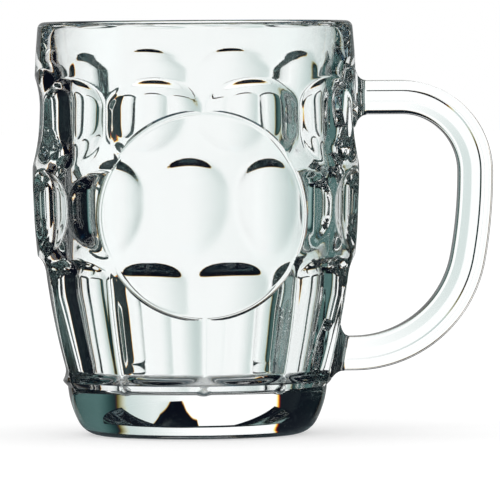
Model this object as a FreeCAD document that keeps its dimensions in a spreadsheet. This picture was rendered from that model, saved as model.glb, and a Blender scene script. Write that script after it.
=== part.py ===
import FreeCAD, Part
import math
import os
import Sketcher

# Dimpled glass beer mug.
# Millimetres.  The mug's axis is Z and it stands on z = 0.  The handle points along +X
# and the smooth round medallion faces -Y.
# Two pieces of glass: the pressed body with its two handle bosses, and the handle bar,
# which meets each boss face to face.

doc = FreeCAD.newDocument("dimpled_mug")

SIZES = [
    # body, from the foot to the rim
    ("mug_height", 127.0, "foot to rim"),
    ("push_up", 0.9, "rise of the underside at the axis"),
    ("foot_width", 3.0, "width of the flat standing ring"),
    ("foot_draw_in", 5.95, "standing ring inside the heel"),
    ("heel_draw_in", 2.95, "heel inside the top of the base ring"),
    ("heel_height", 4.6, "height where the tight heel curve ends"),
    ("heel_curve", 8.0, "radius of the tight heel curve"),
    ("base_curve", 28.0, "radius of the base ring's side"),
    ("base_ring_height", 15.0, "height of the top of the plain base ring"),
    ("rib_foot_step", 1.45, "ribs' feet beyond the top of the base ring"),
    ("rib_foot_rise", 1.6, "ribs' feet above the top of the base ring"),
    ("rib_foot_draw_in", 9.05, "ribs' feet inside the widest place"),
    ("widest_radius", 50.4, "largest radius over the ribs"),
    ("widest_height", 80.2, "height of the largest radius"),
    ("rim_draw_in", 1.9, "rim inside the widest place"),
    ("rim_wall", 4.2, "thickness of the rounded rim"),
    # cavity
    ("floor_height", 14.0, "top of the heavy glass floor"),
    ("floor_corner", 7.0, "radius between floor and wall"),
    ("floor_wall", 8.6, "wall over the ribs, just above the floor corner"),
    ("low_wall", 7.7, "wall over the ribs, at the top of the tapered lower wall"),
    ("low_wall_height", 44.0, "height of that place"),
    ("waist_wall", 8.7, "wall over the ribs, where the cavity starts to flare"),
    ("mouth_depth", 27.1, "that place below the rim"),
    # dimples
    ("columns", 10, "dimples round the body"),
    ("sector_angle", 34.0, "sweep of a dimple's form about its own axis"),
    ("upper_curve", 85.0, "sideways radius of the upper dimples"),
    ("upper_depth", 3.63, "depth of the upper dimples"),
    ("rim_band", 23.1, "rim to where an upper dimple's floor turns out above"),
    ("upper_flat", 3.9, "straight part of their floor"),
    ("upper_low_round", 30.0, "radius of its lower end"),
    ("upper_high_round", 8.0, "radius of its arched upper end"),
    ("middle_curve", 74.0, "sideways radius of the middle dimples"),
    ("middle_depth", 3.7, "depth of the middle dimples"),
    ("middle_height", 72.85, "height of the middle of their floor"),
    ("middle_flat", 6.3, "straight part of their floor"),
    ("middle_low_round", 31.0, "radius of their lower end"),
    ("middle_high_round", 8.0, "radius of their upper end"),
    ("lower_curve", 72.0, "sideways radius of the lower flutes"),
    ("lower_high_depth", 3.55, "depth of a flute near its top"),
    ("lower_low_depth", 2.95, "depth of a flute near its foot"),
    ("lower_low_height", 20.0, "where a flute's floor turns out below"),
    ("lower_long", 28.4, "length of a flute's floor"),
    ("lower_high_round", 7.0, "radius of its arched top"),
    ("lower_low_round", 3.0, "radius of its foot"),
    # medallion
    ("medallion_radius", 32.0, "smooth round field on the front"),
    ("medallion_height", 68.6, "height of its centre"),
    # handle
    ("bar_thickness", 10.3, "handle bar, in the plane of the loop"),
    ("bar_width", 14.0, "handle bar, across the loop"),
    ("outer_facet", 2.7, "height of the facets along the bar's outside"),
    ("inner_facet", 3.5, "height of the facets along the bar's finger side"),
    ("facet_slope", 30.0, "how far those facets turn from the bar's sides, in degrees"),
    ("upper_bar_drop", 23.8, "rim to the middle of the level upper bar"),
    ("upper_bar_length", 10.9, "upper weld face to the start of the upper bend"),
    ("lower_bar_height", 24.4, "middle of the level lower bar"),
    ("lower_bar_length", 2.7, "lower weld face to the start of the lower bend"),
    ("shoulder_bend", 23.0, "radius of the upper bend"),
    ("back_bend", 145.0, "radius of the long back"),
    ("upper_joint_stand", 1.9, "upper weld face beyond the widest place"),
    ("lower_joint_stand", 2.4, "middle of the lower weld face beyond the ribs there"),
    ("lower_joint_tilt", 9.8, "lean of the lower weld face, in degrees"),
    ("boss_margin", 0.2, "boss face beyond the bar, all round"),
    ("boss_flare", 3.4, "radius of the flare from boss to body"),
    ("boss_bury", 1.8, "boss's inner end below the dimple's floor"),
]

sheet = doc.addObject("Spreadsheet::Sheet", "Sizes")
for row, (alias, value, note) in enumerate(SIZES, start=1):
    sheet.set(f"A{row}", note)
    sheet.set(f"B{row}", str(value))
    sheet.setAlias(f"B{row}", alias)
doc.recompute()


def size(alias):
    """The sheet's cell of that name, as an expression other objects can use."""
    return f"Sizes.{alias}"


def number(expression):
    """What an expression on the sheet comes to now."""
    return float(sheet.evalExpression(expression.replace("Sizes.", "")))


def new_sketch(body, role, name, depth=None):
    """A sketch on one of the body's own origin planes, set back by depth where given."""
    sketch = body.newObject("Sketcher::SketchObject", name)
    plane = next(item for item in body.Origin.OriginFeatures if item.Role == role)
    sketch.AttachmentSupport = (plane, [""])
    sketch.MapMode = "FlatFace"
    if depth is not None:
        sketch.setExpression("AttachmentOffset.Base.z", f"-({depth})")
    return sketch


def pin_point(sketch, geometry, position, across, up):
    """Hold one point of the sketch at sheet values; an empty value means on that axis."""
    if across:
        index = sketch.addConstraint(
            Sketcher.Constraint("DistanceX", -1, 1, geometry, position, number(across))
        )
        sketch.setExpression(f"Constraints[{index}]", across)
    else:
        sketch.addConstraint(Sketcher.Constraint("PointOnObject", geometry, position, -2))
    if up:
        index = sketch.addConstraint(
            Sketcher.Constraint("DistanceY", -1, 1, geometry, position, number(up))
        )
        sketch.setExpression(f"Constraints[{index}]", up)
    else:
        sketch.addConstraint(Sketcher.Constraint("PointOnObject", geometry, position, -1))


def set_radius(sketch, geometry, radius):
    """Tie an arc's radius to the sheet."""
    index = sketch.addConstraint(Sketcher.Constraint("Radius", geometry, number(radius)))
    sketch.setExpression(f"Constraints[{index}]", radius)


def draw_outline(sketch, corners, arcs):
    """Draw a closed outline.

    corners: (across, up) expressions in drawing order.
    arcs: side number to (radius, turn); turn is +1 where the side bulges to the right
    of its direction and -1 where it bulges to the left.
    """
    points = []
    for across, up in corners:
        x = number(across) if across else 0.0
        y = number(up) if up else 0.0
        points.append(FreeCAD.Vector(x, y, 0))
    ends = []
    for side, start in enumerate(points):
        end = points[(side + 1) % len(points)]
        if side not in arcs:
            sketch.addGeometry(Part.LineSegment(start, end), False)
            ends.append((1, 2))
            continue
        radius, turn = arcs[side]
        chord = end - start
        half = chord.Length / 2
        rise = math.sqrt(max(number(radius) ** 2 - half ** 2, 0.0))
        left = FreeCAD.Vector(-chord.y, chord.x, 0).normalize()
        centre = (start + end) * 0.5 + left * (rise * turn)
        first, last = (start, end) if turn > 0 else (end, start)
        from_angle = math.atan2(first.y - centre.y, first.x - centre.x)
        to_angle = math.atan2(last.y - centre.y, last.x - centre.x)
        circle = Part.Circle(centre, FreeCAD.Vector(0, 0, 1), number(radius))
        sketch.addGeometry(Part.ArcOfCircle(circle, from_angle, to_angle), False)
        ends.append((1, 2) if turn > 0 else (2, 1))
    for side, (start_position, end_position) in enumerate(ends):
        following = (side + 1) % len(points)
        sketch.addConstraint(
            Sketcher.Constraint("Coincident", side, end_position, following, ends[following][0])
        )
        pin_point(sketch, side, start_position, *corners[side])
    for side, (radius, turn) in arcs.items():
        set_radius(sketch, side, radius)


def level_arc(rise, run):
    """Radius of the arc that leaves a level centre upright and drifts by run over rise."""
    return f"((({rise}) ^ 2 + ({run}) ^ 2) / (2 * ({run})))"


def wall_at(height, arc):
    """Radius over the ribs at a height, on one of the wall's two long arcs."""
    drop = f"({size('widest_height')} - ({height}))"
    return f"({size('widest_radius')} - {arc} + sqrt({arc} ^ 2 - {drop} ^ 2))"


def wall_below(height):
    """Radius over the ribs at a height below the widest place."""
    return wall_at(height, lower_wall)


def wall_above(height):
    """Radius over the ribs at a height above the widest place."""
    return wall_at(height, upper_wall)


half_pitch = f"180 / {size('columns')}"

# heights that follow from others
lip_height = f"({size('mug_height')} - {size('rim_wall')} / 2)"
rib_foot_height = f"({size('base_ring_height')} + {size('rib_foot_rise')})"
corner_height = f"({size('floor_height')} + {size('floor_corner')})"
waist_height = f"({size('mug_height')} - {size('mouth_depth')})"
upper_high_height = f"({size('mug_height')} - {size('rim_band')})"
lower_high_height = f"({size('lower_low_height')} + {size('lower_long')})"
upper_bar_height = f"({size('mug_height')} - {size('upper_bar_drop')})"

# the long arcs of the outside wall, below and above the widest place
lower_wall = level_arc(
    f"{size('widest_height')} - {rib_foot_height}",
    size("rib_foot_draw_in"),
)
upper_wall = level_arc(
    f"{lip_height} - {size('widest_height')}",
    size("rim_draw_in"),
)

# radii that follow from others
rim_radius = f"({size('widest_radius')} - {size('rim_draw_in')})"
rib_foot_radius = f"({size('widest_radius')} - {size('rib_foot_draw_in')})"
base_ring_radius = f"({rib_foot_radius} - {size('rib_foot_step')})"
heel_radius = f"({base_ring_radius} - {size('heel_draw_in')})"
foot_radius = f"({heel_radius} - {size('foot_draw_in')})"
waist_radius = f"({wall_above(waist_height)} - {size('waist_wall')})"
low_radius = f"({wall_below(size('low_wall_height'))} - {size('low_wall')})"
floor_radius = f"({wall_below(corner_height)} - {size('floor_wall')})"
upper_joint_reach = f"({size('widest_radius')} + {size('upper_joint_stand')})"
lower_joint_reach = f"({wall_below(size('lower_bar_height'))} + {size('lower_joint_stand')})"


# ---------------------------------------------------------------- pressed blank
def make_blank():
    """The smooth mug before its dimples: one section turned round the axis."""
    body = doc.addObject("PartDesign::Body", "blank")
    section = new_sketch(body, "XZ_Plane", "blank_section")
    corners = [
        ("", size("push_up")),
        (f"{foot_radius} - {size('foot_width')}", ""),
        (foot_radius, ""),
        (heel_radius, size("heel_height")),
        (base_ring_radius, size("base_ring_height")),
        (rib_foot_radius, rib_foot_height),
        (size("widest_radius"), size("widest_height")),
        (rim_radius, lip_height),
        (f"{rim_radius} - {size('rim_wall')} / 2", size("mug_height")),
        (f"{rim_radius} - {size('rim_wall')}", lip_height),
        (waist_radius, waist_height),
        (low_radius, size("low_wall_height")),
        (floor_radius, corner_height),
        (f"{floor_radius} - {size('floor_corner')}", size("floor_height")),
        ("", size("floor_height")),
    ]
    arcs = {
        2: (size("heel_curve"), 1),
        3: (size("base_curve"), 1),
        5: (lower_wall, 1),
        6: (upper_wall, 1),
        7: (f"{size('rim_wall')} / 2", 1),
        8: (f"{size('rim_wall')} / 2", 1),
        12: (size("floor_corner"), -1),
    }
    draw_outline(section, corners, arcs)
    turned = body.newObject("PartDesign::Revolution", "blank_turned")
    turned.Profile = section
    turned.ReferenceAxis = (section, ["V_Axis"])
    turned.Angle = 360
    return body


# ---------------------------------------------------------------- dimple forms
def make_dimple_form(name, floor, curve, heights, rounds, floor_curve=None):
    """One row of dimple forms, ready to be cut from the blank.

    Each form is turned about its own upright axis outside the mug, so its floor is hollow
    sideways, and both ends of its floor turn outwards in quarter rounds.
    floor, heights, rounds: (low, high) expressions; curve: the sideways radius.
    """
    body = doc.addObject("PartDesign::Body", name)
    section = new_sketch(body, "XZ_Plane", f"{name}_section")
    axis_reach = f"{floor[1]} + {curve}"
    bottom = f"{heights[0]} - {rounds[0]}"
    top = f"{heights[1]} + {rounds[1]}"
    corners = [
        (axis_reach, bottom),
        (axis_reach, top),
        (f"{floor[1]} + {rounds[1]}", top),
        (floor[1], heights[1]),
        (floor[0], heights[0]),
        (f"{floor[0]} + {rounds[0]}", bottom),
    ]
    arcs = {2: (rounds[1], 1), 4: (rounds[0], 1)}
    if floor_curve:
        arcs[3] = (floor_curve, -1)
    draw_outline(section, corners, arcs)
    turned = body.newObject("PartDesign::Revolution", f"{name}_turned")
    turned.Profile = section
    turned.ReferenceAxis = (section, ["Edge1"])
    turned.Midplane = True
    turned.setExpression("Angle", size("sector_angle"))
    doc.recompute()
    ring = body.newObject("PartDesign::PolarPattern", f"{name}_ring")
    ring.Originals = [turned]
    axis = next(item for item in body.Origin.OriginFeatures if item.Role == "Z_Axis")
    ring.Axis = (axis, [""])
    ring.Angle = 360
    ring.setExpression("Occurrences", size("columns"))
    body.Tip = ring
    return body


def make_upper_form():
    floor = f"{wall_above(upper_high_height)} - {size('upper_depth')}"
    return make_dimple_form(
        "upper_dimples",
        floor=(floor, floor),
        curve=size("upper_curve"),
        heights=(f"{upper_high_height} - {size('upper_flat')}", upper_high_height),
        rounds=(size("upper_low_round"), size("upper_high_round")),
    )


def make_middle_form():
    floor = f"{wall_below(size('middle_height'))} - {size('middle_depth')}"
    half_flat = f"{size('middle_flat')} / 2"
    form = make_dimple_form(
        "middle_dimples",
        floor=(floor, floor),
        curve=size("middle_curve"),
        heights=(
            f"{size('middle_height')} - {half_flat}",
            f"{size('middle_height')} + {half_flat}",
        ),
        rounds=(size("middle_low_round"), size("middle_high_round")),
    )
    form.setExpression("Placement.Rotation.Angle", half_pitch)
    return form


def make_lower_form():
    return make_dimple_form(
        "lower_flutes",
        floor=(
            f"{wall_below(size('lower_low_height'))} - {size('lower_low_depth')}",
            f"{wall_below(lower_high_height)} - {size('lower_high_depth')}",
        ),
        curve=size("lower_curve"),
        heights=(size("lower_low_height"), lower_high_height),
        rounds=(size("lower_low_round"), size("lower_high_round")),
        floor_curve=lower_wall,
    )


# ---------------------------------------------------------------- round medallion
def make_medallion_guard():
    """A cylinder out through the front that keeps the dimples off the round medallion."""
    guard = doc.addObject("Part::Cylinder", "medallion_guard")
    guard.Placement = FreeCAD.Placement(
        FreeCAD.Vector(0, 0, number(size("medallion_height"))),
        FreeCAD.Rotation(FreeCAD.Vector(1, 0, 0), 90),
    )
    guard.setExpression("Placement.Base.z", size("medallion_height"))
    guard.setExpression("Radius", size("medallion_radius"))
    guard.setExpression("Height", f"2 * {size('widest_radius')} + {size('upper_curve')}")
    return guard


def make_dimpled_body(blank, forms, guard):
    """The blank with every row of dimples cut, except inside the medallion."""
    shaped = blank
    for form in forms:
        trimmed = doc.addObject("Part::Cut", f"{form.Name}_trimmed")
        trimmed.Base = form
        trimmed.Tool = guard
        cut = doc.addObject("Part::Cut", f"body_with_{form.Name}")
        cut.Base = shaped
        cut.Tool = trimmed
        shaped = cut
    return shaped


# ---------------------------------------------------------------- handle bosses
def facet_inset(height):
    """How far a facet of that height comes in from the bar's side."""
    return f"({height} * tan({size('facet_slope')} * 1 deg))"


def draw_bar_section(sketch, grow, outer_side_up):
    """The bar's eight-sided section, grown by grow all round; across is the mug's Y."""
    side = f"({size('bar_width')} / 2 + {grow})"
    top = f"({size('bar_thickness')} / 2 + {grow})"
    above = size("outer_facet") if outer_side_up else size("inner_facet")
    below = size("inner_facet") if outer_side_up else size("outer_facet")
    upper_side = f"({side} - {facet_inset(above)})"
    lower_side = f"({side} - {facet_inset(below)})"
    corners = [
        (side, f"{top} - {above}"),
        (upper_side, top),
        (f"-{upper_side}", top),
        (f"-{side}", f"{top} - {above}"),
        (f"-{side}", f"-({top} - {below})"),
        (f"-{lower_side}", f"-{top}"),
        (lower_side, f"-{top}"),
        (side, f"-({top} - {below})"),
    ]
    draw_outline(sketch, corners, {})


def make_boss(name, reach, height, root, tilt, outer_side_up):
    """A short stub that flares from its weld face back into the body's wall.

    Its own +X is the weld face's normal, and root is the way back to its buried end.
    outer_side_up says whether the bar's outside is above (upper boss) or below (lower
    boss).
    """
    body = doc.addObject("PartDesign::Body", name)
    body.Placement = FreeCAD.Placement(
        FreeCAD.Vector(number(reach), 0, number(height)),
        FreeCAD.Rotation(FreeCAD.Vector(0, 1, 0), 1.0),
    )
    body.setExpression("Placement.Base.x", reach)
    body.setExpression("Placement.Base.z", height)
    body.setExpression("Placement.Rotation.Angle", tilt)
    flare = size("boss_flare")
    stations = [(f"{flare} * sin({angle} deg)", f"{flare} * (1 - cos({angle} deg))")
                for angle in (0, 30, 60, 90)]
    stations.append((root, flare))
    sections = []
    for index, (depth, spread) in enumerate(stations):
        section = new_sketch(body, "YZ_Plane", f"{name}_section_{index}", depth)
        draw_bar_section(section, f"({size('boss_margin')} + {spread})", outer_side_up)
        sections.append(section)
    loft = body.newObject("PartDesign::AdditiveLoft", f"{name}_loft")
    loft.Profile = sections[0]
    loft.Sections = sections[1:]
    loft.Ruled = True
    return body


# ---------------------------------------------------------------- handle bar
def draw_loop_side(sketch, first, half, inwards):
    """One long side of the bar: upper line, three tangent bends, lower line.

    first: number of its first line; half: half the bar's thickness; inwards: -1 on the
    finger side and +1 on the outside.
    """
    sign = "+" if inwards > 0 else "-"
    upper_z = f"{upper_bar_height} {sign} {half}"
    lower_z = f"{size('lower_bar_height')} {'-' if inwards > 0 else '+'} {half}"
    bend_start = f"{upper_joint_reach} + {size('upper_bar_length')}"
    bend_end = f"{lower_joint_reach} + {size('lower_bar_length')}"

    shoulder = number(size("shoulder_bend"))
    back = number(size("back_bend"))
    joint_x = number(upper_joint_reach)
    tail_x = number(lower_joint_reach)
    lower_bar_z = number(size("lower_bar_height"))
    shoulder_centre = FreeCAD.Vector(number(bend_start), number(upper_bar_height) - shoulder, 0)
    back_centre = shoulder_centre + FreeCAD.Vector(shoulder - back, 0, 0)
    # the lower bend is the one that touches both the long back and the lower bar
    reach = number(bend_end) - back_centre.x
    drop = back_centre.y - lower_bar_z
    lower = (back**2 - reach**2 - drop**2) / (2 * (back - drop))
    lower_centre = FreeCAD.Vector(number(bend_end), lower_bar_z + lower, 0)
    sweep = math.atan2(back_centre.y - lower_centre.y, reach)
    thicker = number(half) * inwards

    def bend(centre, radius, start, end):
        circle = Part.Circle(centre, FreeCAD.Vector(0, 0, 1), radius + thicker)
        return Part.ArcOfCircle(circle, start, end)

    lines_and_bends = [
        Part.LineSegment(
            FreeCAD.Vector(joint_x, number(upper_z), 0),
            FreeCAD.Vector(shoulder_centre.x, number(upper_z), 0),
        ),
        bend(shoulder_centre, shoulder, 0, math.pi / 2),
        bend(back_centre, back, -sweep, 0),
        bend(lower_centre, lower, -math.pi / 2, -sweep),
        Part.LineSegment(
            FreeCAD.Vector(lower_centre.x, number(lower_z), 0),
            FreeCAD.Vector(tail_x, number(lower_z), 0),
        ),
    ]
    for item in lines_and_bends:
        sketch.addGeometry(item, False)
    upper_line, shoulder_arc, back_arc, lower_arc, lower_line = range(first, first + 5)
    constraints = [
        Sketcher.Constraint("Horizontal", upper_line),
        Sketcher.Constraint("Tangent", upper_line, 2, shoulder_arc, 2),
        Sketcher.Constraint("Tangent", shoulder_arc, 1, back_arc, 2),
        Sketcher.Constraint("Horizontal", shoulder_arc, 1, shoulder_arc, 3),
        Sketcher.Constraint("Tangent", back_arc, 1, lower_arc, 2),
        Sketcher.Constraint("Tangent", lower_arc, 1, lower_line, 1),
        Sketcher.Constraint("Horizontal", lower_line),
    ]
    sketch.addConstraint(constraints)
    pin_point(sketch, upper_line, 2, bend_start, upper_z)
    pin_point(sketch, lower_line, 1, bend_end, lower_z)
    for arc, bend_name in ((shoulder_arc, "shoulder_bend"), (back_arc, "back_bend")):
        set_radius(sketch, arc, f"{size(bend_name)} {sign} {half}")
    return upper_line, lower_line


def make_handle():
    """The bar: its side outline padded across the loop, with facets along its edges."""
    body = doc.addObject("PartDesign::Body", "handle")
    outline = new_sketch(body, "XZ_Plane", "handle_outline")
    half = f"{size('bar_thickness')} / 2"
    outer_top, outer_tail = draw_loop_side(outline, 0, half, 1)
    inner_top, inner_tail = draw_loop_side(outline, 5, half, -1)
    lean = f"{half} * tan({size('lower_joint_tilt')} * 1 deg)"
    ends = [
        (outer_top, 1, upper_joint_reach),
        (inner_top, 1, upper_joint_reach),
        (outer_tail, 2, f"{lower_joint_reach} - {lean}"),
        (inner_tail, 2, f"{lower_joint_reach} + {lean}"),
    ]
    for line, position, reach in ends:
        hold = outline.addConstraint(
            Sketcher.Constraint("DistanceX", -1, 1, line, position, number(reach))
        )
        outline.setExpression(f"Constraints[{hold}]", reach)
    for outer, inner, position in ((outer_top, inner_top, 1), (outer_tail, inner_tail, 2)):
        closing = outline.addGeometry(
            Part.LineSegment(outline.getPoint(outer, position), outline.getPoint(inner, position)),
            False,
        )
        outline.addConstraint(Sketcher.Constraint("Coincident", closing, 1, outer, position))
        outline.addConstraint(Sketcher.Constraint("Coincident", closing, 2, inner, position))
    pad = body.newObject("PartDesign::Pad", "handle_band")
    pad.Profile = outline
    pad.Midplane = True
    pad.setExpression("Length", size("bar_width"))
    doc.recompute()

    base = pad
    for name, first, height_second in (("outer_facet", 0, True), ("inner_facet", 5, False)):
        middles = [edge_middle(item.toShape()) for item in outline.Geometry[first:first + 5]]
        chosen = []
        for index, edge in enumerate(base.Shape.Edges, start=1):
            middle = edge_middle(edge)
            across = [math.hypot(middle.x - spot.x, middle.z - spot.y) for spot in middles]
            if abs(middle.y) > number(size("bar_width")) / 4 and min(across) < 0.01:
                chosen.append(f"Edge{index}")
        chamfer = body.newObject("PartDesign::Chamfer", f"handle_{name}")
        chamfer.Base = (base, chosen)
        chamfer.ChamferType = "Two distances"
        chamfer.FlipDirection = height_second
        chamfer.setExpression("Size", size(name))
        chamfer.setExpression("Size2", facet_inset(size(name)))
        doc.recompute()
        base = chamfer
    return body


def edge_middle(edge):
    """The point half way along an edge."""
    return edge.valueAt((edge.FirstParameter + edge.LastParameter) / 2)


# ---------------------------------------------------------------- the two pieces
blank = make_blank()
forms = [make_upper_form(), make_middle_form(), make_lower_form()]
guard = make_medallion_guard()
dimpled = make_dimpled_body(blank, forms, guard)
upper_boss = make_boss(
    "upper_boss",
    upper_joint_reach,
    upper_bar_height,
    root=f"{size('upper_joint_stand')} + {size('upper_depth')} + {size('boss_bury')}",
    tilt="0",
    outer_side_up=True,
)
lower_boss = make_boss(
    "lower_boss",
    lower_joint_reach,
    size("lower_bar_height"),
    root=f"{size('lower_joint_stand')} + {size('lower_low_depth')} + {size('boss_bury')}",
    tilt=size("lower_joint_tilt"),
    outer_side_up=False,
)
mug_body = doc.addObject("Part::MultiFuse", "mug_body")
mug_body.Shapes = [dimpled, upper_boss, lower_boss]
handle = make_handle()
doc.recompute()

failed = [item.Name for item in doc.Objects if {"Invalid", "Error"} & set(item.State)]
if failed:
    raise RuntimeError(f"failed objects: {failed}")

os.makedirs("parts", exist_ok=True)
for piece in (mug_body, handle):
    shape = piece.Shape
    if shape.isNull() or not shape.isValid() or len(shape.Solids) != 1:
        raise RuntimeError(f"{piece.Label} is not one sound solid")
    print(f"{piece.Label}: {shape.Volume / 1000:.1f} ml of glass")
    shape.exportStep(f"parts/{piece.Label}.step")
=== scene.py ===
import math

import bpy
import numpy as np
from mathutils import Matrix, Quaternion, Vector


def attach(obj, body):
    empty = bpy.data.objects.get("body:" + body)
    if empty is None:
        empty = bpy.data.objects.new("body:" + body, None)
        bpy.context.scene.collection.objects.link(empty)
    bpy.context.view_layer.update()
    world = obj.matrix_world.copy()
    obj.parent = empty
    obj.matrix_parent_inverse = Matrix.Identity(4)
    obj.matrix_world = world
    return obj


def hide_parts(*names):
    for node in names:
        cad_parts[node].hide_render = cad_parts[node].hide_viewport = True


# Dimpled glass beer mug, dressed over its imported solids.
# The mug's own lengths are in millimetres; meshes, table and camera are in metres.

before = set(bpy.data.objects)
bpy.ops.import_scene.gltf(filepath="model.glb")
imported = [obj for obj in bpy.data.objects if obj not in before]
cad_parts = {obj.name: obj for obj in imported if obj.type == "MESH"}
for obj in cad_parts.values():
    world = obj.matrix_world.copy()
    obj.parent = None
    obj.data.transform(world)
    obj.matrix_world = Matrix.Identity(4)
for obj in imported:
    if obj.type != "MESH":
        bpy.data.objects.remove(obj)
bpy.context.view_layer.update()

MM = 0.001

# ---- outside wall of the body
MUG_HEIGHT = 127.0
WIDEST_RADIUS = 50.4
WIDEST_HEIGHT = 80.2
RIM_RADIUS = 48.5
RIM_WALL = 4.2
RIB_FOOT_RADIUS = 41.35
RIB_FOOT_HEIGHT = 16.6
LIP_HEIGHT = MUG_HEIGHT - RIM_WALL / 2
# up to each height, the rings of points lie this far apart
WALL_STEPS = ((20.2, 0.3), (45.0, 0.95), (58.0, 0.6), (74.0, 0.95), (90.0, 0.55),
              (106.0, 0.9), (112.6, 0.45), (LIP_HEIGHT, 1.6))
AROUND = 360                 # points round the body

# ---- base, as (radius, height) and the radii of the arcs between
HOLLOW_DEPTH = 0.9
HOLLOW_RADIUS = 28.0
FOOT_RADIUS = 31.0
HEEL = (36.95, 4.6)
HEEL_ROUND = 8.0
BASE_TOP = (39.9, 15.0)
BASE_CURVE = 28.0
LEDGE = [(40.4, 15.5), (40.9, 16.0)]
HEEL_STEPS, BASE_STEPS, LIP_STEPS, CORNER_STEPS = 8, 14, 6, 12   # points along the arcs

# ---- cavity
FLOOR_HEIGHT = 14.0
FLOOR_RINGS = (20.0, 13.0, 6.0, 0.0)
FLOOR_CORNER = 7.0
CORNER_TOP = (33.98, 21.0)
CORNER_FOOT = (27.0, FLOOR_HEIGHT)
# (height, radius) up the cavity wall
CAVITY_WALL = ((21.0, 33.98), (44.0, 39.8), (99.9, 41.33), (108.0, 42.35), (116.0, 43.5),
               (124.9, 44.3))
CAVITY_SAMPLES = 2000
CAVITY_EASING = 160          # samples over which each of its bends is eased
CAVITY_STEP = 2.8

# ---- dimples: each floor is an arc between its low and high ends, where it turns out
COLUMNS = 10
PITCH = 2 * math.pi / COLUMNS
UPPER = {"curve": 85.0, "low": 94.5, "high": 104.0, "low_round": 19.0, "high_round": 7.2,
         "low_depth": 3.63, "high_depth": 3.63, "turn": 0.5, "low_arch": 3.0, "high_arch": 5.0}
MIDDLE = {"curve": 74.0, "low": 67.2, "high": 75.9, "low_round": 24.0, "high_round": 7.0,
          "low_depth": 3.4, "high_depth": 3.4, "turn": 0.0, "low_arch": 5.0, "high_arch": 6.0}
LOWER = {"curve": 72.0, "low": 20.0, "high": 48.4, "low_round": 3.0, "high_round": 7.0,
         "low_depth": 2.95, "high_depth": 3.55, "turn": 0.5, "low_arch": 0.0, "high_arch": 0.0}
PRESSED_FOOT, PRESSED_TOP = 10.0, 115.0
PRESSED_DEPTH = 3.0          # how far under the ribs a point may lie and still be outside wall
EDGE_SOFTNESS = 0.3          # how soft the moulded ridges between dimples are
ENVELOPE_SINK = 0.1          # keeps the wall just under the medallion's face
CROWDING = 0.6               # draws the points towards the ridges and middles of the dimples
BEYOND = 1000.0              # a radius outside everything
ARCH_LIMIT = 0.99            # an arch is followed this far across, before it gets too steep
TURN_LIMIT = 0.999           # and the turn at a floor's end this far out
BLEND_LIMIT = 60.0           # past this a surface has no say, or all of it

# ---- rounded feet of the ribs
FEET_BOTTOM, FEET_TOP = 10.0, 18.6
FEET_RADIUS = 40.0
FEET_LEAN = 0.25
FEET_HALF_WIDTH = 2.2
FEET_TURN = 16.0             # below this height they round off
FEET_DROP = 2.4
FEET_BULGE = 1.6
FEET_SINK = 0.1
FEET_SOFTNESS = 0.12

# ---- medallion
MEDALLION_RADIUS = 32.0
MEDALLION_HEIGHT = 68.6
MEDALLION_EDGE = 1.7         # radius of its rounded edge
MEDALLION_AROUND = 192
MEDALLION_CORE = 2.0         # radius of its innermost ring
SLAB_DEPTH = 5.0             # how deep it reaches into the wall
FACE_MARGIN = 2.0            # from its outline in to the last ring of its even face
BACK_MARGIN = 1.0            # and in to the first ring of its hidden back
FLANK = ((0.2, 2.0), (0.6, SLAB_DEPTH))   # (growth, depth) of the rings down its flank
FACE_RINGS, EDGE_RINGS, BACK_RINGS = 22, 7, 12

# ---- handle bar, centre line and section
BAR_THICKNESS = 10.3
BAR_WIDTH = 14.0
OUTER_FACET = 2.7
INNER_FACET = 3.5
FACET_SLOPE = math.radians(30)
RIDGE_ROUND = 0.9
ROUND_STEPS = 4
SUNK_MARGIN = 0.3            # from a ridge to the sunk panel on the bar's far side
SUNK_DEPTH = 0.36
SUNK_EDGE = 0.48
SUNK_ROUNDS = (0.05, 0.1)    # of the panel's outer and inner edge
UPPER_BAR_HEIGHT = 103.2
LOWER_BAR_HEIGHT = 24.4
UPPER_REACH = 52.3
LOWER_REACH = 45.885
LOWER_TILT = math.radians(9.8)
UPPER_BAR_LENGTH = 10.9
LOWER_BAR_LENGTH = 2.7
SHOULDER_BEND = 23.0
BACK_BEND = 145.0
BAR_STEPS = 5
BEND_STEPS = (30, 16, 40)
OVERRUN = 2.0                # the bar is drawn on past its weld in steps of this, then cut
OVERRUN_STEPS = 3
TAIL_REACH, TAIL_HEIGHT = 60.0, 40.0   # the part of the bar that the cut is kept to

# ---- bosses: depth behind the weld face, growth at the sides, growth above and below
UPPER_FLARE = [(0.0, 0.2, 0.2, 0.2), (0.9, 0.35, 0.35, 0.35), (1.7, 0.8, 0.8, 0.8),
               (2.4, 1.5, 1.5, 1.5), (2.9, 2.4, 2.4, 2.4), (3.4, 3.6, 3.6, 3.5),
               (4.4, 5.0, 4.6, 4.4), (7.3, 5.6, 5.2, 5.0)]
LOWER_FLARE = [(0.0, 0.2, 0.2, 0.2), (0.9, 0.35, 0.35, 0.35), (1.7, 0.8, 0.8, 0.8),
               (2.4, 1.5, 1.5, 1.4), (2.9, 2.3, 2.3, 2.0), (3.4, 3.3, 3.3, 2.7),
               (4.4, 4.4, 4.0, 3.2), (7.1, 5.0, 4.6, 3.6)]
STUB_STEP = 0.2 * MM         # how far each ring of a boss is first drawn out
WELD_TOLERANCE = 0.01
WELD_INSET = 0.1
FACING = 0.999               # a face whose normal agrees this well lies along a plane

SMOOTH_ANGLE = 38            # edges that turn more than this stay sharp


# ================================================================ modelling helpers
def deselect_everything():
    """Leave nothing selected, so that the next operator acts on its own piece alone."""
    if bpy.context.mode != "OBJECT":
        bpy.ops.object.mode_set(mode="OBJECT")
    bpy.ops.object.select_all(action="DESELECT")


def make_current(piece):
    deselect_everything()
    piece.select_set(True)
    bpy.context.view_layer.objects.active = piece


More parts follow.
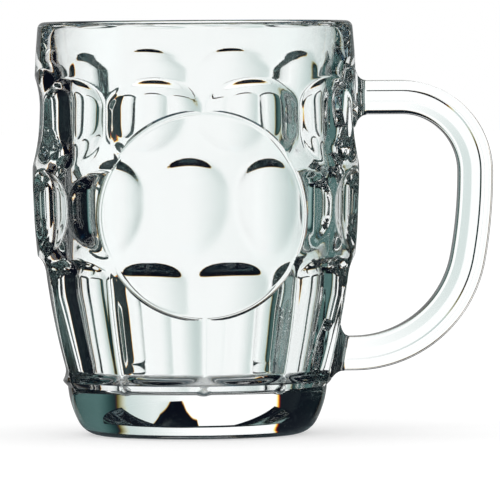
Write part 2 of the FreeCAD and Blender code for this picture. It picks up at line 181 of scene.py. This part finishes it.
def edit(piece, mode="FACE"):
    make_current(piece)
    bpy.ops.object.mode_set(mode="EDIT")
    bpy.ops.mesh.select_mode(type=mode)


def stop_editing():
    bpy.ops.object.mode_set(mode="OBJECT")


def single_point(name, place):
    """A new mesh of one point, ready to be drawn out into a profile."""
    deselect_everything()
    bpy.ops.mesh.primitive_plane_add(size=0.001, location=(0, 0, 0))
    piece = bpy.context.object
    piece.name = name
    bpy.ops.object.mode_set(mode="EDIT")
    bpy.ops.mesh.select_all(action="SELECT")
    bpy.ops.mesh.merge(type="CENTER")
    bpy.ops.transform.translate(value=place)
    return piece


def draw_profile(name, points):
    """Draw a line of edges through the given points, one extrude at a time."""
    piece = single_point(name, points[0])
    for before, after in zip(points, points[1:]):
        step = Vector(after) - Vector(before)
        bpy.ops.mesh.extrude_region_move(TRANSFORM_OT_translate={"value": step})
    stop_editing()
    return piece


def apply_modifier(piece, kind, **settings):
    make_current(piece)
    modifier = piece.modifiers.new(kind.lower(), kind)
    for key, value in settings.items():
        setattr(modifier, key, value)
    bpy.ops.object.modifier_apply(modifier=modifier.name)


def close_and_turn_out(piece):
    """Merge what lies on the same spot and point every face outwards."""
    edit(piece)
    bpy.ops.mesh.select_all(action="SELECT")
    bpy.ops.mesh.remove_doubles(threshold=2e-6)
    bpy.ops.mesh.normals_make_consistent(inside=False)
    stop_editing()


def smooth(piece, angle):
    make_current(piece)
    bpy.ops.object.shade_smooth_by_angle(angle=math.radians(angle))


def points_of(piece):
    count = len(piece.data.vertices)
    flat = np.empty(count * 3)
    piece.data.vertices.foreach_get("co", flat)
    return flat.reshape(-1, 3)


def set_points(piece, points):
    piece.data.vertices.foreach_set("co", np.ascontiguousarray(points).ravel())
    piece.data.update()


# ================================================================ body section
def arc_radius(rise, run):
    return (rise**2 + run**2) / (2 * run)


LOWER_WALL = arc_radius(WIDEST_HEIGHT - RIB_FOOT_HEIGHT, WIDEST_RADIUS - RIB_FOOT_RADIUS)
UPPER_WALL = arc_radius(LIP_HEIGHT - WIDEST_HEIGHT, WIDEST_RADIUS - RIM_RADIUS)


def rib_radius(z):
    """Radius over the ribs at a height."""
    z = np.asarray(z, float)
    arc = np.where(z < WIDEST_HEIGHT, LOWER_WALL, UPPER_WALL)
    return WIDEST_RADIUS - arc + np.sqrt(arc**2 - (z - WIDEST_HEIGHT) ** 2)


def arc_between(start, end, radius, bulge, count):
    """Points along an arc after its start; bulge +1 is to the right of its direction."""
    (x0, z0), (x1, z1) = start, end
    dx, dz = x1 - x0, z1 - z0
    chord = math.hypot(dx, dz)
    rise = math.sqrt(max(radius**2 - chord**2 / 4, 0.0))
    cx = (x0 + x1) / 2 - dz / chord * rise * bulge
    cz = (z0 + z1) / 2 + dx / chord * rise * bulge
    first = math.atan2(z0 - cz, x0 - cx)
    sweep = math.atan2(z1 - cz, x1 - cx) - first
    sweep = (sweep + math.pi) % (2 * math.pi) - math.pi
    steps = [first + sweep * i / count for i in range(1, count + 1)]
    return [(cx + radius * math.cos(a), cz + radius * math.sin(a)) for a in steps]


def spaced(start, end, step):
    """Even places after start up to end, about a step apart."""
    count = max(1, round(abs(end - start) / step))
    return [start + (end - start) * i / count for i in range(1, count + 1)]


def cavity_wall_points():
    """The cavity wall from the mouth down to the floor corner, its bends eased."""
    heights, radii = zip(*CAVITY_WALL)
    fine = np.linspace(heights[0], heights[-1], CAVITY_SAMPLES)
    line = np.interp(fine, heights, radii)
    window = np.hanning(CAVITY_EASING)
    window /= window.sum()
    # carried on straight at both ends, so that they stay where they are
    reach = CAVITY_EASING // 2
    before = line[0] + np.arange(-reach, 0) * (line[1] - line[0])
    after = line[-1] + np.arange(1, reach + 1) * (line[-1] - line[-2])
    padded = np.concatenate([before, line, after])
    eased = np.convolve(padded, window, mode="same")[reach:-reach]
    places = spaced(heights[-1], heights[0], CAVITY_STEP)
    return [(float(np.interp(z, fine, eased)), z) for z in places]


def body_section():
    """The section of the smooth body, from under the middle round to the cavity floor."""
    section = [(0.0, HOLLOW_DEPTH)]
    section += [(r, HOLLOW_DEPTH * (1 - (r / HOLLOW_RADIUS) ** 2))
                for r in np.arange(1.0, HOLLOW_RADIUS)]
    section += [(HOLLOW_RADIUS, 0.0), ((HOLLOW_RADIUS + FOOT_RADIUS) / 2, 0.0),
                (FOOT_RADIUS, 0.0)]
    section += arc_between((FOOT_RADIUS, 0.0), HEEL, HEEL_ROUND, 1, HEEL_STEPS)
    section += arc_between(HEEL, BASE_TOP, BASE_CURVE, 1, BASE_STEPS)
    section += LEDGE + [(RIB_FOOT_RADIUS, RIB_FOOT_HEIGHT)]
    at = RIB_FOOT_HEIGHT
    for top, step in WALL_STEPS:
        section += [(float(rib_radius(z)), z) for z in spaced(at, top, step)]
        at = top
    outer = (RIM_RADIUS, LIP_HEIGHT)
    crown = (RIM_RADIUS - RIM_WALL / 2, MUG_HEIGHT)
    inner = (RIM_RADIUS - RIM_WALL, LIP_HEIGHT)
    section += arc_between(outer, crown, RIM_WALL / 2, 1, LIP_STEPS)
    section += arc_between(crown, inner, RIM_WALL / 2, 1, LIP_STEPS)
    section += cavity_wall_points()
    section += arc_between(CORNER_TOP, CORNER_FOOT, FLOOR_CORNER, -1, CORNER_STEPS)
    section += [(r, FLOOR_HEIGHT) for r in FLOOR_RINGS]
    return [(r * MM, 0.0, z * MM) for r, z in section]


# ================================================================ dimples
def floor_radius(row, z, across):
    """Radius of a dimple's floor, turning out at both ends, which are arched across it."""
    share = np.clip((z - row["low"]) / (row["high"] - row["low"]), 0, 1)
    if row is LOWER:
        # the long flutes follow the wall
        depth = row["low_depth"] + (row["high_depth"] - row["low_depth"]) * share
        floor = rib_radius(np.clip(z, row["low"], row["high"])) - depth
    else:
        low_floor = rib_radius(row["low"]) - row["low_depth"]
        high_floor = rib_radius(row["high"]) - row["high_depth"]
        floor = low_floor + (high_floor - low_floor) * share
    arch = 1 - np.sqrt(1 - np.clip(across, 0, ARCH_LIMIT) ** 2)
    low = row["low"] + row["low_arch"] * arch
    high = row["high"] - row["high_arch"] * arch
    for radius, beyond in ((row["low_round"], low - z), (row["high_round"], z - high)):
        steepest = radius * TURN_LIMIT
        inside = np.clip(beyond, 0, steepest)
        floor = floor + radius - np.sqrt(radius**2 - inside**2)
        floor = floor + np.where(beyond > steepest, BEYOND, 0.0)
    return floor


def pressed_radius(row, azimuth, z, neighbour):
    """Radius of one dimple's surface; neighbour 0 is the nearest dimple, 1 the next."""
    offset = azimuth / PITCH - row["turn"]
    nearest = np.round(offset)
    side = np.where(offset >= nearest, 1.0, -1.0)
    angle = (offset - nearest - side * neighbour) * PITCH
    axis = rib_radius(row["high"]) - row["high_depth"] + row["curve"]
    reach = axis - floor_radius(row, z, np.abs(angle) / (PITCH / 2))
    under = reach**2 - (axis * np.sin(angle)) ** 2
    surface = axis * np.cos(angle) - np.sqrt(np.clip(under, 0, None))
    return np.where((under > 0) & (reach > 0), surface, BEYOND)


def press_dimples(body):
    """Press every row of dimples into the outside wall."""
    points = points_of(body) / MM
    z = points[:, 2]
    radius = np.hypot(points[:, 0], points[:, 1])
    # azimuth 0 is the middle of the front, where the medallion is
    azimuth = np.arctan2(points[:, 0], -points[:, 1])
    halves = 2 * COLUMNS
    azimuth = azimuth - CROWDING / halves * np.sin(halves * azimuth)
    wall = (z > PRESSED_FOOT) & (z < PRESSED_TOP) & (radius > rib_radius(z) - PRESSED_DEPTH)
    base = np.where(z >= RIB_FOOT_HEIGHT, rib_radius(z) - ENVELOPE_SINK, radius)
    # the smallest of all surfaces, with soft ridges where they meet
    total = np.ones_like(z)
    for row in (UPPER, MIDDLE, LOWER):
        for neighbour in (0, 1):
            surface = pressed_radius(row, azimuth, z, neighbour)
            nearer = (base - surface) / EDGE_SOFTNESS
            total += np.exp(np.clip(nearer, -BLEND_LIMIT, BLEND_LIMIT))
    pressed = base - EDGE_SOFTNESS * np.log(total)
    # the larger of wall and rib feet, with a soft corner
    feet = rib_feet(azimuth, z)
    apart = np.abs(pressed - feet) / FEET_SOFTNESS
    pressed = np.maximum(pressed, feet) + FEET_SOFTNESS * np.log1p(np.exp(-apart))
    radius = np.where(wall, pressed, radius)
    moved = np.stack([radius * np.sin(azimuth), -radius * np.cos(azimuth), z], axis=1)
    set_points(body, moved * MM)


def rib_feet(azimuth, z):
    """The rounded feet of the ribs, which reach down over the plain base ring."""
    offset = azimuth / PITCH
    across = (offset - np.round(offset)) * PITCH * FEET_RADIUS
    line = RIB_FOOT_RADIUS + (z - RIB_FOOT_HEIGHT) * FEET_LEAN
    below = np.clip((FEET_TURN - z) / FEET_DROP, 0, None)
    shape = (np.abs(across) / FEET_HALF_WIDTH) ** 2 + below**2
    foot = line - FEET_BULGE * shape - FEET_SINK
    return np.where((z < FEET_TOP) & (z > FEET_BOTTOM), foot, 0.0)


def spin_body():
    body = draw_profile("mug_glass", body_section())
    apply_modifier(body, "SCREW", angle=2 * math.pi, steps=AROUND, render_steps=AROUND,
                   axis="Z", use_merge_vertices=True, merge_threshold=1e-6)
    close_and_turn_out(body)
    press_dimples(body)
    return body


# ================================================================ medallion
def make_medallion():
    """The smooth round field, a slab whose face follows the unpressed wall."""
    # rings as (radius, depth behind the wall): face, rounded edge, flank and back
    face = np.linspace(MEDALLION_CORE, MEDALLION_RADIUS - FACE_MARGIN, FACE_RINGS)
    turn = np.linspace(0, math.pi / 2, EDGE_RINGS)
    back = np.linspace(MEDALLION_RADIUS - BACK_MARGIN, MEDALLION_CORE, BACK_RINGS)
    rings = [(r, 0.0) for r in face]
    rings += [(MEDALLION_RADIUS - MEDALLION_EDGE * (1 - math.sin(a)),
               MEDALLION_EDGE * (1 - math.cos(a))) for a in turn]
    rings += [(MEDALLION_RADIUS + growth, depth) for growth, depth in FLANK]
    rings += [(r, SLAB_DEPTH) for r in back]
    deselect_everything()
    bpy.ops.mesh.primitive_circle_add(vertices=MEDALLION_AROUND, radius=MEDALLION_CORE * MM,
                                      fill_type="TRIFAN", location=(0, 0, 0))
    slab = bpy.context.object
    slab.name = "medallion_slab"
    select_outline(slab, MEDALLION_CORE * MM)
    edit(slab, "EDGE")
    # each ring is drawn out one step further, so that its height tells its number
    for (before, _), (reach, _) in zip(rings, rings[1:]):
        bpy.ops.mesh.extrude_region_move(TRANSFORM_OT_translate={"value": (0, 0, 1 * MM)})
        bpy.ops.transform.resize(value=(reach / before, reach / before, 1),
                                 center_override=(0, 0, 0))
    bpy.ops.mesh.edge_face_add()
    bpy.ops.mesh.poke()
    stop_editing()
    points = points_of(slab) / MM
    number = np.round(points[:, 2]).astype(int)
    depths = np.array([depth for _, depth in rings])
    depth = depths[np.clip(number, 0, len(depths) - 1)]
    x = points[:, 0]
    z = MEDALLION_HEIGHT + points[:, 1]
    y = -np.sqrt((rib_radius(z) - depth) ** 2 - x**2)
    set_points(slab, np.stack([x, y, z], axis=1) * MM)
    close_and_turn_out(slab)
    return slab


def select_outline(disc, radius):
    """Select the edges round a filled disc, and not its spokes."""
    edit(disc, "EDGE")
    bpy.ops.mesh.select_all(action="DESELECT")
    stop_editing()
    for line in disc.data.edges:
        ends = [disc.data.vertices[end].co.length for end in line.vertices]
        line.select = min(ends) > radius / 2


def unite(piece, other):
    """Fuse another closed shape into a piece, as one skin."""
    apply_modifier(piece, "BOOLEAN", operation="UNION", solver="MANIFOLD", object=other)
    bpy.data.objects.remove(other)


# ================================================================ bar section
def bar_section(outer_side_up=True, sunk=False):
    """The bar's eight-sided section with softened ridges, as (across, up) in millimetres."""
    side = BAR_WIDTH / 2
    top = BAR_THICKNESS / 2
    above = OUTER_FACET if outer_side_up else INNER_FACET
    below = INNER_FACET if outer_side_up else OUTER_FACET
    crown = side - above * math.tan(FACET_SLOPE)
    sole = side - below * math.tan(FACET_SLOPE)
    corners = [(side, top - above), (crown, top), (-crown, top), (-side, top - above),
               (-side, -top + below), (-sole, -top), (sole, -top), (side, -top + below)]
    corners = [(across, up, RIDGE_ROUND) for across, up in corners]
    if sunk:
        sharp, soft = SUNK_ROUNDS
        low = -top + below + SUNK_MARGIN
        high = top - above - SUNK_MARGIN
        corners += [(side, low, sharp), (side - SUNK_DEPTH, low + SUNK_EDGE, soft),
                    (side - SUNK_DEPTH, high - SUNK_EDGE, soft), (side, high, sharp)]
    outline = []
    for index, (across, up, rounding) in enumerate(corners):
        before = corners[index - 1]
        after = corners[(index + 1) % len(corners)]
        outline += rounded_corner(Vector(before[:2]), Vector((across, up)), Vector(after[:2]),
                                  rounding)
    return outline


def rounded_corner(before, here, after, rounding):
    """Points of the arc that rounds the corner of an outline."""
    to_before = (before - here).normalized()
    to_after = (after - here).normalized()
    half = to_before.angle(to_after) / 2
    setback = rounding / math.tan(half)
    middle = here + (to_before + to_after).normalized() * (rounding / math.sin(half))
    start = here + to_before * setback
    end = here + to_after * setback
    first = math.atan2(start.y - middle.y, start.x - middle.x)
    sweep = math.atan2(end.y - middle.y, end.x - middle.x) - first
    sweep = (sweep + math.pi) % (2 * math.pi) - math.pi
    angles = [first + sweep * step / ROUND_STEPS for step in range(ROUND_STEPS + 1)]
    return [(middle.x + rounding * math.cos(a), middle.y + rounding * math.sin(a))
            for a in angles]


def section_face(name, points):
    """A filled face with the given outline, in metres."""
    deselect_everything()
    # the circle's own size is of no matter, because its points are set next
    bpy.ops.mesh.primitive_circle_add(vertices=len(points), radius=0.005, fill_type="NGON")
    piece = bpy.context.object
    piece.name = name
    set_points(piece, np.array([list(point) for point in points]))
    return piece


def weld_frame(reach, height, tilt):
    """A weld's direction into the body, its upward direction and its middle."""
    inward = Vector((-math.cos(tilt), 0, math.sin(tilt)))
    upward = Vector((math.sin(tilt), 0, math.cos(tilt)))
    return inward, upward, Vector((reach, 0, height))


# ================================================================ bosses
def make_boss(name, reach, height, tilt, outer_side_up, flare):
    """A stub that flares from its weld face back into the wall."""
    inward, upward, weld = weld_frame(reach, height, tilt)
    outline = bar_section(outer_side_up)

    def ring(depth, side, above, below):
        placed = []
        for across, up in outline:
            wide = across * (1 + side / (BAR_WIDTH / 2))
            tall = up * (1 + (above if up > 0 else below) / (BAR_THICKNESS / 2))
            spot = weld + inward * depth + upward * tall + Vector((0, wide, 0))
            placed.append(spot * MM)
        return placed

    first = ring(0, 0, 0, 0)
    piece = section_face(name, first)
    edit(piece)
    bpy.ops.mesh.select_all(action="SELECT")
    for _ in flare:
        bpy.ops.mesh.extrude_region_move(TRANSFORM_OT_translate={"value": inward * STUB_STEP})
    stop_editing()
    points = points_of(piece)
    order = ring_order(points, len(first), inward, weld * MM)
    for level, step in enumerate([(0, 0, 0, 0)] + flare):
        for spot, target in zip(order[level], ring(*step)):
            points[spot] = target
    set_points(piece, points)
    close_and_turn_out(piece)
    return piece


def ring_order(points, count, inward, weld):
    """Sort the points of a stack of equal rings by ring, each in the first ring's order."""
    along = (points - np.array(weld)) @ np.array(inward)
    levels = np.round(along / STUB_STEP).astype(int)
    flat = points - np.outer(along, np.array(inward))
    first = np.where(levels == 0)[0]
    order = []
    for level in range(levels.max() + 1):
        members = np.where(levels == level)[0]
        found = []
        for spot in first[:count]:
            gap = np.linalg.norm(flat[members] - flat[spot], axis=1)
            found.append(members[int(np.argmin(gap))])
        order.append(found)
    return order


# ================================================================ handle
def draw_on(step, count):
    """Draw the selected face on along X, in steps."""
    for _ in range(count):
        bpy.ops.mesh.extrude_region_move(TRANSFORM_OT_translate={"value": (step * MM, 0, 0)})


def make_handle():
    """The bar: its section drawn out and turned round three tangent bends."""
    shoulder_x = UPPER_REACH + UPPER_BAR_LENGTH
    shoulder_z = UPPER_BAR_HEIGHT - SHOULDER_BEND
    back_x = shoulder_x + SHOULDER_BEND - BACK_BEND
    tail_x = LOWER_REACH + LOWER_BAR_LENGTH
    reach = tail_x - back_x
    drop = shoulder_z - LOWER_BAR_HEIGHT
    lower_bend = (BACK_BEND**2 - reach**2 - drop**2) / (2 * (BACK_BEND - drop))
    lower_z = LOWER_BAR_HEIGHT + lower_bend
    sweep = math.atan2(shoulder_z - lower_z, reach)

    points = [(UPPER_REACH * MM, across * MM, (UPPER_BAR_HEIGHT + up) * MM)
              for across, up in bar_section(True, sunk=True)]
    bar = section_face("handle_glass_bar", points)
    edit(bar)
    bpy.ops.mesh.select_all(action="SELECT")
    draw_on(UPPER_BAR_LENGTH / BAR_STEPS, BAR_STEPS)
    bends = ((math.pi / 2, shoulder_x, shoulder_z), (sweep, back_x, shoulder_z),
             (math.pi / 2 - sweep, tail_x, lower_z))
    for (angle, x, z), steps in zip(bends, BEND_STEPS):
        bpy.ops.mesh.spin(steps=steps, angle=angle, center=(x * MM, 0, z * MM), axis=(0, -1, 0))
    draw_on(-OVERRUN, OVERRUN_STEPS)
    stop_editing()
    # cut the lower end off square to its weld
    for face in bar.data.polygons:
        face.select = face.center.x < TAIL_REACH * MM and face.center.z < TAIL_HEIGHT * MM
    edit(bar)
    bpy.ops.mesh.bisect(
        plane_co=(LOWER_REACH * MM, 0, LOWER_BAR_HEIGHT * MM),
        plane_no=(math.cos(LOWER_TILT), 0, -math.sin(LOWER_TILT)),
        clear_inner=True,
        use_fill=True,
    )
    stop_editing()
    close_and_turn_out(bar)
    return bar


# ================================================================ shader helpers
class Value:
    """A node's output; arithmetic on it adds Math nodes."""

    def __init__(self, finish, output):
        self.finish = finish
        self.output = output

    def _math(self, operation, first, second=None):
        values = {0: first}
        if second is not None:
            values[1] = second
        return self.finish.node("ShaderNodeMath", {"operation": operation}, values)

    def __add__(self, other):
        return self._math("ADD", self, other)

    __radd__ = __add__

    def __sub__(self, other):
        return self._math("SUBTRACT", self, other)

    def __rsub__(self, other):
        return self._math("SUBTRACT", other, self)

    def __mul__(self, other):
        return self._math("MULTIPLY", self, other)

    __rmul__ = __mul__

    def __truediv__(self, other):
        return self._math("DIVIDE", self, other)

    def __pow__(self, other):
        return self._math("POWER", self, other)

    def call(self, operation, other=None):
        return self._math(operation, self, other)

    def between(self, low, high, start=0.0, end=1.0):
        """A smooth ramp from start at low to end at high."""
        return self.finish.node(
            "ShaderNodeMapRange",
            {"interpolation_type": "SMOOTHSTEP", "clamp": True},
            {"Value": self, "From Min": low, "From Max": high, "To Min": start, "To Max": end},
        )


class Finish:
    """A material or world under construction."""

    def __init__(self, owner):
        owner.use_nodes = True
        self.tree = owner.node_tree
        self.tree.nodes.clear()

    def node(self, kind, settings=None, values=None, output=0):
        made = self.tree.nodes.new(kind)
        for key, value in (settings or {}).items():
            setattr(made, key, value)
        for key, value in (values or {}).items():
            if isinstance(value, Value):
                self.tree.links.new(value.output, made.inputs[key])
            else:
                made.inputs[key].default_value = value
        return Value(self, made.outputs[output]) if made.outputs else None

    def also(self, value, output):
        """Another output of the same node."""
        return Value(self, value.output.node.outputs[output])


# ================================================================ glass
INDEX = 1.52
WAVE_SIZE = 30.0


def glass(name, tint, wave_depth):
    """Clear pressed glass with the faint unevenness that a mould leaves."""
    material = bpy.data.materials.new(name)
    finish = Finish(material)
    place = finish.node("ShaderNodeTexCoord", output="Object")
    waves = finish.node("ShaderNodeTexNoise", {"noise_dimensions": "3D"},
                        {"Vector": place, "Scale": 1 / (WAVE_SIZE * MM), "Detail": 1.0})
    bump = finish.node("ShaderNodeBump", None,
                       {"Strength": 1.0, "Distance": wave_depth * MM, "Height": waves})
    shader = finish.node("ShaderNodeBsdfPrincipled", None,
                         {"Base Color": (*tint, 1.0), "Roughness": 0.0, "IOR": INDEX,
                          "Transmission Weight": 1.0, "Normal": bump})
    finish.node("ShaderNodeOutputMaterial", None, {"Surface": shader})
    return material


def run_together():
    """Where the two glasses have run together nothing is left to see."""
    material = bpy.data.materials.new("fused weld")
    finish = Finish(material)
    clear = finish.node("ShaderNodeBsdfTransparent")
    finish.node("ShaderNodeOutputMaterial", None, {"Surface": clear})
    return material


def mark_weld(piece, slot, reach, height, tilt):
    """Give the fused finish to the faces that lie on a weld plane inside the bar."""
    inward, upward, weld = weld_frame(reach, height, tilt)
    for face in piece.data.polygons:
        centre = face.center - weld * MM
        on_plane = abs(face.normal.dot(inward)) > FACING
        on_plane = on_plane and abs(centre.dot(inward)) < WELD_TOLERANCE * MM
        inside = abs(centre.y) < (BAR_WIDTH / 2 - WELD_INSET) * MM
        inside = inside and abs(centre.dot(upward)) < (BAR_THICKNESS / 2 - WELD_INSET) * MM
        if on_plane and inside:
            face.material_index = slot


# ================================================================ build
body = spin_body()
unite(body, make_medallion())
unite(body, make_boss("upper_stub", UPPER_REACH, UPPER_BAR_HEIGHT, 0.0, True, UPPER_FLARE))
unite(body, make_boss("lower_stub", LOWER_REACH, LOWER_BAR_HEIGHT, LOWER_TILT, False,
                      LOWER_FLARE))
handle = make_handle()

body_finish = glass("pressed glass", tint=(0.97, 0.985, 0.98), wave_depth=0.03)
handle_finish = glass("bar glass", tint=(0.975, 0.988, 0.984), wave_depth=0.02)
fused = run_together()
for piece, finish in ((body, body_finish), (handle, handle_finish)):
    piece.data.materials.clear()
    piece.data.materials.append(finish)
    piece.data.materials.append(fused)
    for face in piece.data.polygons:
        face.material_index = 0
    mark_weld(piece, 1, UPPER_REACH, UPPER_BAR_HEIGHT, 0.0)
    mark_weld(piece, 1, LOWER_REACH, LOWER_BAR_HEIGHT, LOWER_TILT)
    smooth(piece, SMOOTH_ANGLE)

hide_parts("mug_body")
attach(body, "root")
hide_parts("handle")
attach(handle, "root")

# ================================================================ floor
TABLE_SIZE = 8.0
TABLE_DROP = 0.00005         # keeps the table just under the foot ring
TABLE_COLOUR = 0.6
TABLE_GLOW = 0.5
# painted shadow: through the glass, the table this close to the mug's axis shows a dark glowing
# colour instead of its real shade
SHADE_START, SHADE_END = 0.036, 0.056
SHADE_DEPTH = 0.9
PAINTED_SHADOW_COLOUR = (0.055, 0.075, 0.085)


def through_glass(finish):
    """1 for a ray that comes by way of the glass, 0 for the camera's own and for diffuse ones."""
    path = finish.node("ShaderNodeLightPath", output="Is Transmission Ray")
    return path.call("MAXIMUM", finish.also(path, "Is Glossy Ray"))


def table_finish():
    """A white table; through the glass only a painted shadow close round the foot is seen of it.
    """
    material = bpy.data.materials.new("white table")
    finish = Finish(material)
    grey = (TABLE_COLOUR, TABLE_COLOUR, TABLE_COLOUR, 1)
    diffuse = finish.node("ShaderNodeBsdfDiffuse", None, {"Color": grey})
    glow = finish.node("ShaderNodeEmission", None,
                       {"Color": (1, 1, 1, 1), "Strength": TABLE_GLOW})
    table = finish.node("ShaderNodeAddShader", None, {0: diffuse, 1: glow})
    spot = finish.node("ShaderNodeTexCoord", output="Object")
    away = finish.node("ShaderNodeVectorMath", {"operation": "LENGTH"}, {0: spot},
                       output="Value")
    # painted shadow: a mask that is strongest close round the foot and fades out further away
    shade = away.between(SHADE_START, SHADE_END, SHADE_DEPTH, 0.0)
    unseen = finish.node("ShaderNodeBsdfTransparent")
    # the painted shadow itself, a dark emission colour
    painted_shadow = finish.node("ShaderNodeEmission", None, {"Color": (*PAINTED_SHADOW_COLOUR, 1), "Strength": 1})
    refracted = finish.node("ShaderNodeMixShader", None, {0: shade, 1: unseen, 2: painted_shadow})
    shown = finish.node("ShaderNodeMixShader", None,
                        {0: through_glass(finish), 1: table, 2: refracted})
    finish.node("ShaderNodeOutputMaterial", None, {"Surface": shown})
    return material


deselect_everything()
bpy.ops.mesh.primitive_plane_add(size=TABLE_SIZE, location=(0, 0, -TABLE_DROP))
floor = bpy.context.object
floor.name = "floor"
floor.data.materials.append(table_finish())

# ================================================================ studio
# What the glass shows of the studio, by compass bearing (0 is behind the mug, 90 is the
# handle's side) and by height above the horizon, both in degrees. Pairs are where a light
# begins and ends to fade.
PANEL_LEFT = (-26.3, -24.7)
PANEL_RIGHT = (27.0, 32.0)
PANEL_TOP = (17.0, 19.0)
PANEL_FOOT = (-56, -44)
PANEL_FADE = (0.0, 32.0)     # over these bearings the panel falls off to its dimmer end
PANEL_END = 0.6
SIDE_EDGE = (72.0, 80.0)
SIDE_BACK = (106, 122)       # behind the camera the sides are dark again
SIDE_LEVEL = 0.35
FILL_START, FILL_END = (30, 44), (66, 74)
FILL_LEVEL = 0.12            # on the handle's side only
BAND_FOOT, BAND_TOP = (-34, -24), (12, 17)
OPPOSITE_EDGE = (114, 118)
OPPOSITE_LEVEL = 0.95
GROUND = (-74, -60)
GROUND_LEVEL = 0.9
CEILING = (74, 84)
CEILING_LEVEL = 0.05
REFLECTED = 0.3              # how bright the studio is where the glass only mirrors it
REFRACTED = 1.15
DISPERSION = 0.022           # how much further out the glass looks from red to green to blue
# for red, green and blue: spread of the directions, contrast and darkest level; the glass
# takes a little red out and leaves blacks blue
COLOURS = ((1 - DISPERSION, 1.22, 0.003), (1.0, 0.9, 0.004), (1 + DISPERSION, 0.93, 0.008))


WALL_FACES = 4               # faces that light crosses straight through both walls
STUDIO_STEP = 1              # the studio counts as one ray more than the last face
MIX_FIRST, MIX_SECOND, MIX_RESULT = 6, 7, 2   # a Mix node's sockets for colours


def straight_through(studio):
    """1 for light that crosses the walls once without being mirrored."""
    crossed = studio.node("ShaderNodeLightPath", output="Transmission Depth")
    mirrored = studio.also(crossed, "Ray Depth") - crossed
    once = crossed.call("LESS_THAN", WALL_FACES + 0.5)
    return once * mirrored.call("LESS_THAN", STUDIO_STEP + 0.5)


def studio_light(bearing, lift, spread, straight):
    """Brightness by direction, for a colour that the glass bends by its own amount."""
    across = bearing * spread
    up = lift * spread
    aside = bearing.call("ABSOLUTE")
    top = up.between(*PANEL_TOP, 1, 0)
    foot = up.between(*PANEL_FOOT)
    fade = across.between(*PANEL_FADE, 1.0, PANEL_END)
    panel = across.between(*PANEL_LEFT) * across.between(*PANEL_RIGHT, 1, 0) * top * fade * foot
    band = up.between(*BAND_FOOT) * up.between(*BAND_TOP, 1, 0)
    sides = aside.between(*SIDE_EDGE, 0, SIDE_LEVEL) * band
    fill = bearing.between(*FILL_START, 0, FILL_LEVEL) * bearing.between(*FILL_END, 1, 0) * band
    around = sides.call("MAXIMUM", fill) * aside.between(*SIDE_BACK, 1, 0)
    opposite = aside.between(*OPPOSITE_EDGE, 0, OPPOSITE_LEVEL) * foot * top * straight
    light = panel.call("MAXIMUM", around).call("MAXIMUM", opposite)
    light = light.call("MAXIMUM", up.between(*GROUND, GROUND_LEVEL, 0))
    return light.call("MAXIMUM", up.between(*CEILING, 0, CEILING_LEVEL))


def light_studio():
    """White for the camera and the table; panels in a dark room for the glass."""
    world = bpy.data.worlds.new("studio")
    bpy.context.scene.world = world
    studio = Finish(world)
    direction = studio.node("ShaderNodeTexCoord", output="Generated")
    x = studio.node("ShaderNodeSeparateXYZ", None, {"Vector": direction})
    bearing = x.call("ARCTAN2", studio.also(x, "Y")) * math.degrees(1)
    lift = studio.also(x, "Z").call("ARCSINE") * math.degrees(1)
    straight = straight_through(studio)
    red, green, blue = (
        studio_light(bearing, lift, spread, straight) ** contrast + darkest
        for spread, contrast, darkest in COLOURS
    )
    card = studio.node("ShaderNodeCombineColor", None, {"Red": red, "Green": green, "Blue": blue})
    bent = studio.node("ShaderNodeLightPath", output="Is Transmission Ray")
    level = bent.between(0, 1, REFLECTED, REFRACTED)
    card = studio.node("ShaderNodeVectorMath", {"operation": "SCALE"}, {0: card, "Scale": level})
    light = studio.node("ShaderNodeMix", {"data_type": "RGBA"},
                        {"Factor": through_glass(studio), MIX_FIRST: (1, 1, 1, 1),
                         MIX_SECOND: card}, output=MIX_RESULT)
    background = studio.node("ShaderNodeBackground", None, {"Color": light, "Strength": 1.0})
    studio.node("ShaderNodeOutputWorld", None, {"Surface": background})


light_studio()

# ================================================================ camera
DISTANCE = 2.5
CAMERA_BEARING = math.radians(-2.9)
CAMERA_HEIGHT = 0.150
ROLL = math.radians(-0.4)
AIM_ASIDE, AIM_HEIGHT = 16.5 * MM, 60.0 * MM
PICTURE_WIDTH = 154.0 * MM   # across the picture at the mug's axis
SENSOR_WIDTH = 36.0


def set_camera():
    """Far off and a little above, as in the photograph, and rolled as it is."""
    data = bpy.data.cameras.new("camera")
    camera = bpy.data.objects.new("camera", data)
    bpy.context.scene.collection.objects.link(camera)
    aside = Vector((math.cos(CAMERA_BEARING), math.sin(CAMERA_BEARING), 0))
    place = Vector((math.sin(CAMERA_BEARING), -math.cos(CAMERA_BEARING), 0)) * DISTANCE
    place.z = CAMERA_HEIGHT
    aim = aside * AIM_ASIDE
    aim.z = AIM_HEIGHT
    camera.location = place
    camera.rotation_mode = "QUATERNION"
    facing = (aim - place).to_track_quat("-Z", "Y")
    camera.rotation_quaternion = facing @ Quaternion((0, 0, 1), ROLL)
    data.sensor_width = SENSOR_WIDTH
    data.lens = SENSOR_WIDTH * (aim - place).length / PICTURE_WIDTH
    data.clip_end = 50.0
    bpy.context.scene.camera = camera


set_camera()
scene = bpy.context.scene
scene.view_settings.view_transform = "Standard"
# the glass is many walls deep
scene.cycles.max_bounces = 24
scene.cycles.transmission_bounces = 24
scene.cycles.glossy_bounces = 12
scene.cycles.transparent_max_bounces = 16
